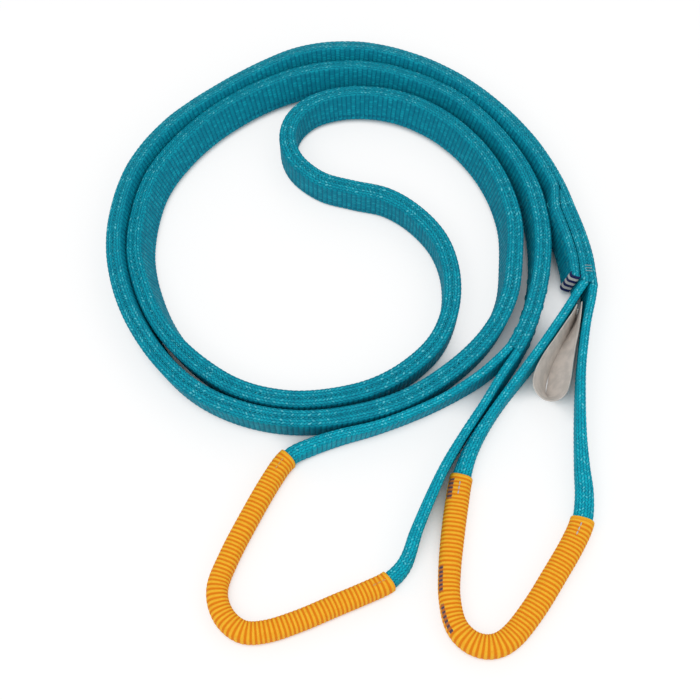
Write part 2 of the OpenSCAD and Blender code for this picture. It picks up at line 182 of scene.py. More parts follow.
def midHeight(wide, tall, lean, base=0.0):  # middle of a leaning section that stands on the floor
    return base + tall / 2 * np.cos(lean) + wide / 2 * np.abs(np.sin(lean))


def placeSection(rows, tangents, mid, outline):
    # outline holds (across, up) pairs; across is to the right of travel
    lean = np.radians(rows[:, 2])[:, None]
    across, up = outline[..., 0], outline[..., 1]
    side = across * np.cos(lean) + up * np.sin(lean)
    x = rows[:, 0, None] + tangents[:, 1, None] * side
    y = rows[:, 1, None] - tangents[:, 0, None] * side
    z = np.asarray(mid)[:, None] - across * np.sin(lean) + up * np.cos(lean)
    return np.stack((x, y, z), axis=-1)


def trimToCrotch(rings, tangents, run, last, eye, gap):
    # the rings near one end slide along their travel until the last one lies on the crotch's plane
    facing = headingOf(eye)
    away = (gap - (rings[last, :, :2] - crotch[eye]) @ facing) / (tangents[last] @ facing)
    share = np.clip(1 - np.abs(run - run[last]) / web["trimReach"], 0, 1)
    rings[:, :, :2] += share[:, None, None] * away[None, :, None] * tangents[:, None, :]


def webOutline(halfThick, halfWide, roundLeft, roundRight):
    # counterclockwise from the middle of the lower edge; rim is 1 on the edges and 0 on the faces
    points, start = [(0, -halfWide, 1)], -90
    for side, radius in ((1, roundRight), (-1, roundLeft)):
        for level in (-side, side):
            for step in range(section["cornerSteps"] + 1):
                angle = math.radians(start + 90 * step / section["cornerSteps"])
                points.append((side * (halfThick - radius) + radius * math.cos(angle),
                               level * (halfWide - radius) + radius * math.sin(angle),
                               abs(math.sin(angle)) ** section["rimFade"]))
            start += 90
            if level == -side:
                for share in section["faceShares"]:
                    points.append((side * halfThick, side * share * (halfWide - radius), 0))
        if side == 1:
            points.append((0, halfWide, 1))
    return np.array(points)


def grooveAt(run, pitch):  # 0 on the crown of a rib and 1 between two ribs
    crown = np.abs(np.cos(math.pi * (np.mod(run / pitch, 1) - 0.5)))
    return 1 - crown ** web["grooveShape"]


def aroundOf(outline):  # distance round a section, 0 at the middle of its upper edge
    closed = np.concatenate((outline, outline[..., :1, :]), axis=-2)
    steps = np.linalg.norm(np.diff(closed[..., :2], axis=-2), axis=-1)
    distance = np.concatenate((np.zeros(steps.shape[:-1] + (1,)), np.cumsum(steps, axis=-1)), axis=-1)
    top = outline.shape[-2] // 2
    return distance - distance[..., top:top + 1]


def skinMesh(name, rings, along, around, rim=None, loop=False):
    # quads round a row of rings, closed by a cap at each end, or into a loop
    count, sides = rings.shape[:2]
    ring = np.arange(count if loop else count - 1)[:, None]
    side = np.arange(sides)[None, :]
    nextRing, nextSide = (ring + 1) % count, (side + 1) % sides

    def perQuad(values):
        return np.stack([np.broadcast_to(value, (len(ring), sides)) for value in values], axis=-1)

    corners = ((ring, side), (nextRing, side), (nextRing, nextSide), (ring, nextSide))
    faces = perQuad(r * sides + s for r, s in corners).reshape(-1, 4).tolist()
    around = np.broadcast_to(around, (count, sides + 1))
    edges = ((ring, side), (nextRing, side), (nextRing, side + 1), (ring, side + 1))
    u, v = perQuad(along[r] for r, s in edges), perQuad(around[r, s] for r, s in edges)
    place = np.stack((u.ravel(), v.ravel()), axis=-1)
    if not loop:
        for cap, order in ((0, range(sides)), (count - 1, range(sides - 1, -1, -1))):
            faces.append([cap * sides + s for s in order])
            place = np.vstack((place, [(along[cap], around[cap, s]) for s in order]))
    mesh = bpy.data.meshes.new(name)
    mesh.from_pydata(rings.reshape(-1, 3).tolist(), [], faces)
    mesh.uv_layers.new(name="weave").uv.foreach_set("vector", place.astype(np.float32).ravel())
    if rim is not None:
        values = np.broadcast_to(rim, (count, sides)).astype(np.float32).ravel()
        mesh.attributes.new("rim", "FLOAT", "POINT").data.foreach_set("value", values)
    mesh.shade_smooth()
    made = bpy.data.objects.new(name, mesh)
    bpy.context.scene.collection.objects.link(made)
    return made


# ---- body of the sling ----
plyPitch = web["ply"] + web["plyGap"]
stackWide = 2 * web["ply"] + web["plyGap"]
bodyRows, bodyRun = evenRows(centred(bodyRoute), web["ribPitch"] / web["ringsPerRib"])
bodyTangents = tangentsOf(bodyRows)
bodyMid = midHeight(stackWide, web["width"], np.radians(bodyRows[:, 2]))
crotch = {"a": bodyRows[-1, :2], "b": bodyRows[0, :2]}
waves = ((1, 0.011, 0), (0.6, 0.0043, 1.7), (0.5, 0.027, 0))  # share, length and phase


def waver(run, size):  # small unevenness that woven work has along its length
    return size * sum(share * np.sin(run / length + phase) for share, length, phase in waves)


def besideTail(run):  # 1 where the tail lies between the plies, 0 past it
    return 1 - smoothStep((run - web["tailLength"] - web["tailClearance"]) / web["tailFade"])


def plyOneAt(run):  # ply one steps aside for the tail
    return -plyPitch / 2 - (plyPitch + web["whipRoom"]) * besideTail(run)


def tailThickAt(run):  # the tail thins out where ply one comes back beside ply two
    room = -plyOneAt(run) - (web["ply"] + 3 * web["plyGap"]) / 2 - web["whipRoom"] * besideTail(run)
    return np.minimum(web["ply"], room)


def ribbed(outline, along):  # ribs across the faces, which scallop the two edges
    groove = grooveAt(along, web["ribPitch"])[:, None]
    across, up, rim = outline[..., 0], outline[..., 1], outline[..., 2]
    across = across - np.sign(across) * web["ribDepth"] * groove * (1 - rim)
    up = up - np.sign(up) * web["edgeScallop"] * groove * rim
    return across, up


def makePly(name, middle, thick, roundLeft, roundRight, startGap, rings=None):
    # middle and thick are the place and the thickness of the ply across the stack, ring by ring
    count = len(bodyRows) if rings is None else rings
    rows, tangents, run = bodyRows[:count], bodyTangents[:count], bodyRun[:count]
    middle, thick = (np.broadcast_to(values, count) for values in (middle, thick))
    outline = webOutline(web["ply"] / 2, web["width"] / 2, roundLeft, roundRight)
    along = run + waver(run, web["ribWander"])
    across, up = ribbed(outline[None], along)
    up = up + waver(run, web["edgeWander"])[:, None] * np.sign(outline[:, 1])
    placed = np.stack((across * (thick / web["ply"])[:, None] + middle[:, None], up), axis=-1)
    skin = placeSection(rows, tangents, bodyMid[:count], placed)
    trimToCrotch(skin, tangents, run, 0, "b", -startGap)
    if rings is None:
        trimToCrotch(skin, tangents, run, -1, "a", -web["crotchGap"])
    return skinMesh(name, skin, along, aroundOf(outline), outline[:, 2])


# Ply one is drawn in by its whipping, and the tail stops where it would get too thin
whipped = 1 - web["whippedPinch"] * (1 - smoothStep(bodyRun / web["whippedReach"]))
plyOneThick = web["fullPly"] * whipped
tailThick = tailThickAt(bodyRun)
tailRings = int(np.argmax(tailThick < web["thinnestTail"]))
tailThick = tailThick[:tailRings]

plyTwo = makePly("bodyPlyTwo", plyPitch / 2, web["fullPly"], web["innerRound"], web["outerRound"],
                 web["crotchGap"])
plyOne = makePly("bodyPlyOne", plyOneAt(bodyRun), plyOneThick, web["outerRound"], web["innerRound"],
                 web["whippedEnd"])
lapTail = makePly("lapTail", -(web["plyGap"] + tailThick) / 2, tailThick, web["innerRound"],
                  web["innerRound"], web["crotchGap"], tailRings)
print("body plies swept", round(float(bodyRun[-1]), 3), "m")


# ---- eyes ----
folded = {"squeeze": 0.92, "edgeRound": 0.0022, "valley": 0.3, "valleyFrom": 1 / 3,
          "rootReach": 0.03, "bendReach": 0.065}
sleeve = {"wall": 0.0012, "fit": 0.0003, "ribPitch": 0.0032, "ringsPerRib": 8, "ribDepth": 0.00035,
          "ribWander": 0.00035, "hem": 0.0035, "flatHem": 0.4, "sides": 32, "squareness": 2.7,
          "rows": {"a": (8, 19), "b": (8, 20)}}  # the rows of an eye between which its sleeve lies
foldedWide, foldedTall = 2 * web["ply"] * folded["squeeze"], web["width"] / 2
sleeveSkin = sleeve["wall"] + sleeve["fit"]


def rootRow(eye, across, leanSign):  # where a leg of an eye meets its ply, on the crotch's plane
    end = -1 if eye == "a" else 0
    row, travel = bodyRows[end], bodyTangents[end]
    lean = math.radians(row[2])
    point = row[:2] + np.array((travel[1], -travel[0])) * across * math.cos(lean)
    facing = headingOf(eye)
    point = point + travel * ((crotch[eye] - point) @ facing) / (travel @ facing)
    height = bodyMid[end] - across * math.sin(lean)
    return (*point, row[2] * leanSign, 0, 0), height


def eyeRowsOf(eye):
    acrossFirst, signFirst = (plyPitch / 2, 1) if eye == "a" else (-plyPitch / 2, -1)
    first, firstHeight = rootRow(eye, acrossFirst, signFirst)
    final, finalHeight = rootRow(eye, -acrossFirst, -signFirst)
    return np.vstack((first, centred(eyeRoutes[eye]), final)), (firstHeight, finalHeight)


def eyeSize(rows):  # width and height of the web, which is folded lengthwise in its sleeve
    fold = np.clip(rows[:, 3], 0, 1)
    wide = web["ply"] + fold * (foldedWide - web["ply"]) + np.clip(rows[:, 4], 0, None)
    return fold, wide, web["width"] + fold * (foldedTall - web["width"])


def makeEyeWeb(name, eye):
    rows, heights = eyeRowsOf(eye)
    rows, run = evenRows(rows, web["ribPitch"] / web["ringsPerRib"])
    tangents = tangentsOf(rows)
    fold, wide, tall = eyeSize(rows)
    mid = midHeight(wide, tall, np.radians(rows[:, 2]), sleeveSkin * smoothStep(fold))
    mid += (heights[0] - mid[0]) * (1 - smoothStep(run / folded["rootReach"]))
    mid += (heights[1] - mid[-1]) * (1 - smoothStep((run[-1] - run) / folded["rootReach"]))
    outline = np.stack([webOutline(w / 2, h / 2, r, r)
                        for w, h, r in zip(wide, tall, folded["edgeRound"] * (1 + fold))])
    # the open side of the fold makes a valley along the lower edge
    opened = smoothStep((fold - folded["valleyFrom"]) / (1 - folded["valleyFrom"]))
    outline[:, 0, 1] += folded["valley"] * tall * opened
    along = run + waver(run, web["ribWander"])
    across, up = ribbed(outline, along)
    skin = placeSection(rows, tangents, mid, np.stack((across, up), axis=-1))
    for last in (0, -1):
        trimToCrotch(skin, tangents, run, last, eye, web["crotchGap"])
    return skinMesh(name, skin, along, aroundOf(outline), outline[..., 2])


def sleeveOutline(wide, tall):  # an oval with fuller corners than an ellipse
    angle = np.linspace(-math.pi / 2, 1.5 * math.pi, sleeve["sides"], endpoint=False)
    across, up = (np.sign(part) * np.abs(part) ** (2 / sleeve["squareness"])
                  for part in (np.cos(angle), np.sin(angle)))
    return np.stack((np.outer(wide / 2, across), np.outer(tall / 2, up)), axis=-1)


def makeSleeve(name, eye):
    fine = smoothRows(eyeRowsOf(eye)[0], fineSteps)
    run = runAlong(fine)
    start, stop = (run[fineSteps * row] for row in sleeve["rows"][eye])
    rings = round((stop - start) / sleeve["ribPitch"] * sleeve["ringsPerRib"])
    stops = np.linspace(start, stop, rings)
    rows = rowsAt(stops, run, fine)
    tangents = tangentsOf(rows)
    _, wide, tall = eyeSize(rows)
    lean = np.radians(rows[:, 2])
    along = stops - start + waver(stops, sleeve["ribWander"])
    hem = smoothStep(np.minimum(stops - start, stop - stops) / sleeve["hem"] - sleeve["flatHem"])
    sunk = 2 * sleeve["ribDepth"] * hem * grooveAt(along, sleeve["ribPitch"])
    grow, room = 2 * sleeveSkin, 2 * sleeve["fit"]
    outer = sleeveOutline(wide + grow - sunk, tall + grow - sunk)
    inner = sleeveOutline(wide + room, tall + room)
    outerRings = placeSection(rows, tangents, midHeight(wide + grow, tall + grow, lean), outer)
    innerRings = placeSection(rows, tangents, midHeight(wide + room, tall + room, lean, sleeve["wall"]),
                              inner)
    around = aroundOf(outer)
    return skinMesh(name, np.vstack((outerRings, innerRings[::-1])),
                    np.concatenate((along, along[::-1])), np.vstack((around, around[::-1])),
                    np.concatenate((1 - hem, 1 - hem[::-1]))[:, None], loop=True)


eyeAWeb = makeEyeWeb("eyeAWeb", "a")
eyeBWeb = makeEyeWeb("eyeBWeb", "b")
eyeASleeve = makeSleeve("eyeASleeve", "a")
eyeBSleeve = makeSleeve("eyeBSleeve", "b")
print("eyes and sleeves swept")


# ---- label ----
label = {"width": 0.022, "thick": 0.0009, "edgeRound": 0.0004, "pitch": 0.0012}


def makeLabel():
    rows, run = evenRows(centred(labelRoute), label["pitch"])
    outline = webOutline(label["thick"] / 2, label["width"] / 2, label["edgeRound"], label["edgeRound"])
    mid = midHeight(label["thick"], label["width"], np.radians(rows[:, 2]))
    placed = np.broadcast_to(outline[:, :2], (len(rows),) + outline[:, :2].shape)
    skin = placeSection(rows, tangentsOf(rows), mid, placed)
    return skinMesh("labelLoop", skin, run, aroundOf(outline), outline[:, 2]), float(run[-1])


labelLoop, labelLength = makeLabel()
print("label looped", round(labelLength, 3), "m")


# ---- thread ----
thread = {"thick": 0.0011, "fine": 0.0008, "sides": 8, "dome": 0.55, "archPoints": 7, "archDip": 0.35,
          "flatten": 0.8}
stitch = {"length": 0.0056, "count": 9, "rows": (-0.3, 0.3), "rise": 0.0009, "thinnestTail": 0.0015}
whip = {"bands": 7, "turnsInBand": 3, "thick": 0.00098, "spread": 0.97, "slant": 0.12}
binding = {"turns": 19, "spread": 0.43, "share": 0.38, "past": 0.0008, "rise": 0.0006}
edgeTack = {"pitch": 0.0024, "rise": 0.0009}
labelTack = {"heights": (0.6, 0.72, 0.84), "room": 0.00045, "rise": 0.0002}
sleeveTack = {"pitch": 0.0036, "halfLength": 0.0014, "rise": 0.0008, "thick": 0.0009}
straightUp = np.array((0, 0, 1))

stations = smoothRows(centred(bodyRoute), halfSteps)
stationTravel = tangentsOf(stations)
stationRun = runAlong(stations)
tailStations = int(np.argmax(tailThickAt(stationRun) < stitch["thinnestTail"]))


def threadTube(points, thick, flatten=1.0, up=straightUp):
    # rings of one thread along a list of points, closed to a small dome at either end
    line = np.array(points, float)
    travel = unit(np.gradient(line, axis=0))
    lift = np.broadcast_to(up, line.shape)
    lift = unit(lift - (lift * travel).sum(1, keepdims=True) * travel)
    right = np.cross(travel, lift)
    angle = np.linspace(0, 2 * math.pi, thread["sides"], endpoint=False)
    size = np.ones(len(line)) * thick / 2
    size[0] = size[-1] = thick / 2 * thread["dome"]
    return (line[:, None] + size[:, None, None] * (np.cos(angle)[None, :, None] * right[:, None]
            + flatten * np.sin(angle)[None, :, None] * lift[:, None]))


def joinThreads(name, tubes, thick):  # every thread of one piece in one mesh
    parts = []
    for number, rings in enumerate(tubes):
        steps = np.linalg.norm(np.diff(rings.mean(1), axis=0), axis=1)
        run = np.concatenate(((0,), np.cumsum(steps)))
        around = np.linspace(0, math.pi * thick, rings.shape[1] + 1)
        parts.append(skinMesh(f"{name}{number}", rings, run, around))
    bpy.ops.object.select_all(action="DESELECT")
    for part in parts:
        part.select_set(True)
    bpy.context.view_layer.objects.active = parts[0]
    bpy.ops.object.join()
    joined = bpy.context.view_layer.objects.active
    joined.name = joined.data.name = name
    return joined


def archedThread(start, stop, normal, rise, thick):  # a stitch whose two ends dive into the web
    share = np.linspace(-1, 1, thread["archPoints"])[:, None]
    line = (start + stop) / 2 + (stop - start) / 2 * share
    line = line + normal * rise * (thread["archDip"] - share ** 4)
    return threadTube(line, thick, thread["flatten"], normal)


def onBody(i, across, up, forward=0.0):  # a point of the body's section at a station
    row, travel = stations[i], stationTravel[i]
    mid = midHeight(stackWide, web["width"], np.radians(row[2]))
    point = placeSection(row[None], travel[None], [mid], np.array([[(across, up)]]))[0, 0]
    return point + np.append(travel, 0) * forward


def faceNormal(i, side):
    lean, travel = math.radians(stations[i, 2]), stationTravel[i]
    return side * np.array((travel[1] * math.cos(lean), -travel[0] * math.cos(lean), -math.sin(lean)))


def stitchPair(i, across, side):
    made = []
    for share in stitch["rows"]:
        first, second = (onBody(at, across, share * web["width"]) for at in (i, i + 1))
        middle, chord = (first + second) / 2, unit(second - first) * stitch["length"] / 2
        made.append(archedThread(middle - chord, middle + chord, faceNormal(i, side),
                                 stitch["rise"], thread["thick"]))
    return made


def spliceStitches(name, faces):  # each face is its stations, where its ply lies there, and its side
    tubes = []
    for used, middle, side in faces:
        for i, across in zip(used, np.broadcast_to(middle, len(used))):
            tubes += stitchPair(i, across + side * web["ply"] / 2, side)
    return joinThreads(name, tubes, thread["thick"])


nearB = np.arange(1, stitch["count"] + 1)
nearA = len(stations) - 2 - nearB
onTail = np.arange(1, tailStations - 1)
spliceA = spliceStitches("spliceAStitches", ((nearA, -plyPitch / 2, -1), (nearA, plyPitch / 2, 1)))
spliceB = spliceStitches("spliceBStitches", ((onTail, plyOneAt(stationRun[onTail]), -1),
                                             (nearB, plyPitch / 2, 1)))


def whipping(name, parity):  # turns of thread round the end of ply one, in bands of one colour
    across, half = plyOneAt(0.0), plyOneThick[0] / 2
    bandTall = web["width"] / whip["bands"]
    facing, travel = headingOf("b"), stationTravel[0]
    # half of one turn: distance from the middle of the ply, and from the crotch's plane
    halfTurn = [(half - 0.0004, 0.0042), (half + 0.0003, 0.0036), (half + 0.0005, 0.0028),
                (half + 0.0005, 0.002), (half + 0.0003, 0.0013), (half - 0.0002, 0.0008),
                (half - 0.0012, 0.00066), (0.0008, 0.00062)]
    turn = [(-a, back) for a, back in halfTurn] + halfTurn[::-1]
    tubes = []
    for band in range(parity, whip["bands"], 2):
        for place in range(whip["turnsInBand"]):
            up = (band + (place + 0.5) / whip["turnsInBand"]) * bandTall - web["width"] / 2
            line = []
            for a, back in turn:
                point = onBody(0, across + a, up * whip["spread"] + whip["slant"] * a)
                slide = (-back - (point[:2] - crotch["b"]) @ facing) / (travel @ facing)
                line.append(point + np.append(travel, 0) * slide)
            tubes.append(threadTube(line, whip["thick"]))
    return joinThreads(name, tubes, whip["thick"])


def bindTail():
    i, tubes = tailStations - 1, []
    thick = tailThickAt(stationRun[i])
    middle = -(web["plyGap"] + thick) / 2
    for up in np.linspace(-binding["spread"], binding["spread"], binding["turns"]) * web["width"]:
        ends = [onBody(i, middle + side * thick * binding["share"], up, binding["past"])
                for side in (-1, 1)]
        tubes.append(archedThread(*ends, np.append(stationTravel[i], 0), binding["rise"],
                                  thread["thick"]))
    return joinThreads("tailEndBinding", tubes, thread["thick"])


def tackCrotch():
    tubes = []
    for place in (-1, 0, 1):
        ends = [onBody(1, side * web["ply"] / 2, web["width"] / 2, place * edgeTack["pitch"])
                for side in (-1, 1)]
        tubes.append(archedThread(*ends, straightUp, edgeTack["rise"], thread["fine"]))
    return joinThreads("crotchBTack", tubes, thread["fine"])


def tackLabel():
    strip = smoothRows(centred(labelRoute), halfSteps)
    travel = tangentsOf(strip)[1]
    right = np.array((travel[1], -travel[0]))
    middle = (strip[1, :2] + strip[-2, :2]) / 2
    half = (abs((strip[-2, :2] - strip[1, :2]) @ right) - label["thick"] - labelTack["room"]) / 2
    tubes = []
    for height in labelTack["heights"]:
        ends = [np.append(middle + side * half * right, height * label["width"]) for side in (-1, 1)]
        tubes.append(archedThread(*ends, np.append(travel, 0), labelTack["rise"], thread["thick"]))
    return joinThreads("labelBarTack", tubes, thread["thick"])


def tackSleeve(name, eye):
    rows = smoothRows(eyeRowsOf(eye)[0], halfSteps)
    travel = tangentsOf(rows)
    top = foldedTall + 2 * sleeveSkin
    tubes = []
    first, last = sleeve["rows"][eye]
    for i in (halfSteps * first + 1, halfSteps * last - 1):
        for place in (-1, 0, 1):
            middle = rows[i, :2] + travel[i] * place * sleeveTack["pitch"]
            points = [np.append(middle + travel[i] * way * sleeveTack["halfLength"], top)
                      for way in (-1, 1)]
            tubes.append(archedThread(*points, straightUp, sleeveTack["rise"], sleeveTack["thick"]))
    return joinThreads(name, tubes, sleeveTack["thick"])


whipDark = whipping("endWhippingDark", 0)
whipLight = whipping("endWhippingLight", 1)
tailEnd = bindTail()
crotchBTack = tackCrotch()
labelBarTack = tackLabel()
sleeveATacks = tackSleeve("sleeveATacks", "a")
sleeveBTacks = tackSleeve("sleeveBTacks", "b")
print("threads sewn")


# ---- finishes ----
def colour(red, green, blue):  # 0 to 255 as seen, to the linear value that a shader wants
    parts = [c / 255 for c in (red, green, blue)]
    return tuple(c / 12.92 if c <= 0.04045 else ((c + 0.055) / 1.055) ** 2.4 for c in parts) + (1,)


def calc(tree, operation, *values):
    made = tree.nodes.new("ShaderNodeMath")
    made.operation = operation
    for socket, value in zip(made.inputs, values):
        if isinstance(value, (int, float)):
            socket.default_value = value
        else:
            tree.links.new(value, socket)
    return made.outputs[0]


def plus(tree, total, *others):
    for other in others:
        total = calc(tree, "ADD", total, other)
    return total


def times(tree, product, *others):
    for other in others:
        product = calc(tree, "MULTIPLY", product, other)
    return product


def mixColour(tree, amount, first, second):  # first where amount is 0, second where it is 1
    made = tree.nodes.new("ShaderNodeMix")
    made.data_type = "RGBA"
    for socket, value in ((made.inputs[0], amount), (made.inputs[6], first), (made.inputs[7], second)):
        if isinstance(value, tuple):
            socket.default_value = colour(*value)
        else:
            tree.links.new(value, socket)
    return made.outputs[2]


def blendValue(tree, amount, first, second):  # the same for two values
    return plus(tree, first, times(tree, calc(tree, "SUBTRACT", second, first), amount))


def ramp(tree, value, low, high):  # 0 at low, 1 at high, smooth between them
    made = tree.nodes.new("ShaderNodeMapRange")
    made.interpolation_type = "SMOOTHSTEP"
    tree.links.new(value, made.inputs[0])
    made.inputs[1].default_value = low
    made.inputs[2].default_value = high
    return made.outputs[0]


def flatNoise(tree, kind, x, y):
    made, place = tree.nodes.new(kind), tree.nodes.new("ShaderNodeCombineXYZ")
    made.noise_dimensions = "2D"
    for socket, value in zip(place.inputs, (x, y)):
        tree.links.new(value, socket)
    tree.links.new(place.outputs[0], made.inputs[0])
    return made


def chance(tree, x, y):  # one random number for each cell
    return flatNoise(tree, "ShaderNodeTexWhiteNoise", x, y).outputs[0]


def clouds(tree, x, y, scale, detail=3.0):
    made = flatNoise(tree, "ShaderNodeTexNoise", x, y)
    made.inputs["Scale"].default_value = scale
    made.inputs["Detail"].default_value = detail
    return made.outputs[0]


def newGroup(name, inputs, outputs):
    tree = bpy.data.node_groups.new(name, "ShaderNodeTree")
    tree.interface.new_socket("Place", in_out="INPUT", socket_type="NodeSocketVector")
    for socketName, value in inputs.items():
        socket = tree.interface.new_socket(socketName, in_out="INPUT", socket_type="NodeSocketFloat")
        socket.default_value = value
    for socketName in outputs:
        tree.interface.new_socket(socketName, in_out="OUTPUT", socket_type="NodeSocketFloat")
    return tree, tree.nodes.new("NodeGroupInput"), tree.nodes.new("NodeGroupOutput")


def millimetres(tree, place):
    split = tree.nodes.new("ShaderNodeSeparateXYZ")
    tree.links.new(place, split.inputs[0])
    return times(tree, split.outputs[0], 1000), times(tree, split.outputs[1], 1000)


def slopeOff(tree, fraction, power):  # from a 0 to 1 fraction, a rounded crown with a thin groove
    crown = calc(tree, "SINE", times(tree, fraction, math.pi))
    return calc(tree, "POWER", calc(tree, "MAXIMUM", crown, leastHeight), power)


# Patterns are in millimetres: x runs along the web and y round its section from its upper edge
leastHeight = 0.0001  # keeps what a power is taken of above zero
loops = {"width": 2.1, "stagger": 0.5, "crown": 0.8, "rise": 0.55, "plainBelow": 0.3, "bright": 0.75}
fray = {"scale": 0.7, "ribs": 1.3, "lanes": 1.5}
flecks = {"stagger": 0.43, "slant": 1.3, "driftScale": 0.09, "driftDetail": 2.0, "drift": 1.8,
          "taper": 3.3, "rise": 0.6, "even": 0.5, "brightRise": 0.7, "brightEven": 0.35}
rimShare = (0.15, 0.7)  # where the faces' loops give way to the edges' flecks
selvedge = {"start": (20.8, 21.4), "stop": (23.2, 22.6), "dash": (0.25, 0.45)}
mottle = {"scale": 0.12, "detail": 4.0}


def buildWovenWeb():
    # transverse ribs of small loops on the faces and slanting flecks of yarn over the edges
    tree, given, result = newGroup(
        "wovenWeb", {"Rim": 0, "Rib Pitch": 3.8, "Fleck Length": 2.7, "Fleck Width": 2.2},
        ["Height", "Bright", "Mottle", "Selvedge"])
    x, y = millimetres(tree, given.outputs["Place"])
    drift = clouds(tree, x, y, flecks["driftScale"], flecks["driftDetail"])
    frayed = calc(tree, "SUBTRACT", clouds(tree, x, y, fray["scale"]), 0.5)

    phase = calc(tree, "DIVIDE", plus(tree, x, times(tree, frayed, fray["ribs"])),
                 given.outputs["Rib Pitch"])
    ribPart, ribNumber = calc(tree, "FRACT", phase), calc(tree, "FLOOR", phase)
    rib = slopeOff(tree, ribPart, loops["crown"])
    row = plus(tree, calc(tree, "DIVIDE", y, loops["width"]), times(tree, ribNumber, loops["stagger"]))
    loop = slopeOff(tree, calc(tree, "FRACT", row), loops["crown"])
    loopChance = chance(tree, ribNumber, calc(tree, "FLOOR", row))
    face = times(tree, rib, plus(tree, 1 - loops["rise"], times(tree, loop, loops["rise"])))
    faceBright = times(tree, face, loop, ramp(tree, loopChance, loops["plainBelow"], 1.0),
                       loops["bright"])

    lane = calc(tree, "DIVIDE", plus(tree, y, times(tree, frayed, fray["lanes"])),
                given.outputs["Fleck Width"])
    laneNumber = calc(tree, "FLOOR", lane)
    laneSide = calc(tree, "SUBTRACT", calc(tree, "FRACT", lane), 0.5)
    slant = calc(tree, "SUBTRACT", 0.5, calc(tree, "FLOORED_MODULO", laneNumber, 2))
    step = plus(tree, calc(tree, "DIVIDE", x, given.outputs["Fleck Length"]),
                times(tree, laneNumber, flecks["stagger"]),
                times(tree, laneSide, slant, flecks["slant"]), times(tree, drift, flecks["drift"]))
    fleckAlong = calc(tree, "SUBTRACT", calc(tree, "FRACT", step), 0.5)
    fleckChance = chance(tree, calc(tree, "FLOOR", step), laneNumber)
    fall = plus(tree, *(calc(tree, "POWER", calc(tree, "ABSOLUTE", part), 2)
                        for part in (fleckAlong, laneSide)))
    fleck = calc(tree, "SUBTRACT", 1, times(tree, fall, flecks["taper"]))
    fleck = calc(tree, "MAXIMUM", fleck, leastHeight)
    edge, edgeBright = (
        times(tree, calc(tree, "POWER", fleck, power),
              plus(tree, even, times(tree, fleckChance, 1 - even)))
        for power, even in ((flecks["rise"], flecks["even"]),
                            (flecks["brightRise"], flecks["brightEven"])))

    rim = ramp(tree, given.outputs["Rim"], *rimShare)
    tree.links.new(blendValue(tree, rim, face, edge), result.inputs["Height"])
    tree.links.new(blendValue(tree, rim, faceBright, edgeBright), result.inputs["Bright"])
    tree.links.new(clouds(tree, x, y, mottle["scale"], mottle["detail"]), result.inputs["Mottle"])
    away = calc(tree, "ABSOLUTE", y)
    dashes = times(tree, ramp(tree, away, *selvedge["start"]), ramp(tree, away, *selvedge["stop"]),
                   ramp(tree, ribPart, *selvedge["dash"]))
    tree.links.new(dashes, result.inputs["Selvedge"])
    return tree


cords = {"hemHeight": 0.75, "share": 0.8, "endWidth": 0.75, "endStagger": 0.5, "endCrown": 0.5,
         "crown": (0.4, 0.98), "mottle": 0.25}


def buildRibbedSleeve():
    # raised cords across the sleeve, with fine warp ends between them
    tree, given, result = newGroup("ribbedSleeve", {"Hem": 0, "Rib Pitch": 3.2},
                                   ["Height", "Crown", "Mottle"])
    x, y = millimetres(tree, given.outputs["Place"])
    phase = calc(tree, "DIVIDE", x, given.outputs["Rib Pitch"])
    crown = slopeOff(tree, calc(tree, "FRACT", phase), 1.0)
    crown = calc(tree, "MAXIMUM", crown, times(tree, given.outputs["Hem"], cords["hemHeight"]))
    row = plus(tree, calc(tree, "DIVIDE", y, cords["endWidth"]),
               times(tree, calc(tree, "FLOOR", phase), cords["endStagger"]))
    ends = slopeOff(tree, calc(tree, "FRACT", row), cords["endCrown"])
    height = plus(tree, times(tree, crown, cords["share"]), times(tree, ends, 1 - cords["share"]))
    tree.links.new(height, result.inputs["Height"])
    tree.links.new(ramp(tree, crown, *cords["crown"]), result.inputs["Crown"])
    tree.links.new(clouds(tree, x, y, cords["mottle"], mottle["detail"]), result.inputs["Mottle"])
    return tree


twist = {"along": 0.9, "round": 1.1, "crown": 0.6, "mottle": 0.8}


def buildTwistedThread():
    tree, given, result = newGroup("twistedThread", {}, ["Height", "Mottle"])
    x, y = millimetres(tree, given.outputs["Place"])
    turn = plus(tree, calc(tree, "DIVIDE", x, twist["along"]), calc(tree, "DIVIDE", y, twist["round"]))
    tree.links.new(slopeOff(tree, calc(tree, "FRACT", turn), twist["crown"]), result.inputs["Height"])
    tree.links.new(clouds(tree, x, y, twist["mottle"]), result.inputs["Mottle"])
    return tree


tape = {"along": 0.55, "across": 0.7, "crown": 0.5, "mottle": 0.12}


def buildTapeWeave():
    tree, given, result = newGroup("tapeWeave", {}, ["Height", "Mottle"])
    x, y = millimetres(tree, given.outputs["Place"])
    over, under = (slopeOff(tree, calc(tree, "FRACT", calc(tree, "DIVIDE", part, pitch)), tape["crown"])
                   for part, pitch in ((x, tape["along"]), (y, tape["across"])))
    tree.links.new(times(tree, over, under), result.inputs["Height"])
    tree.links.new(clouds(tree, x, y, tape["mottle"]), result.inputs["Mottle"])
    return tree


groups = {"web": buildWovenWeb(), "sleeve": buildRibbedSleeve(), "thread": buildTwistedThread(),
          "tape": buildTapeWeave()}
cloth = {"bump": 0.8, "sheenRoughness": 0.4, "specular": 0.12}


def weavePlace(tree):
    place = tree.nodes.new("ShaderNodeUVMap")
    place.uv_map = "weave"
    return place.outputs[0]


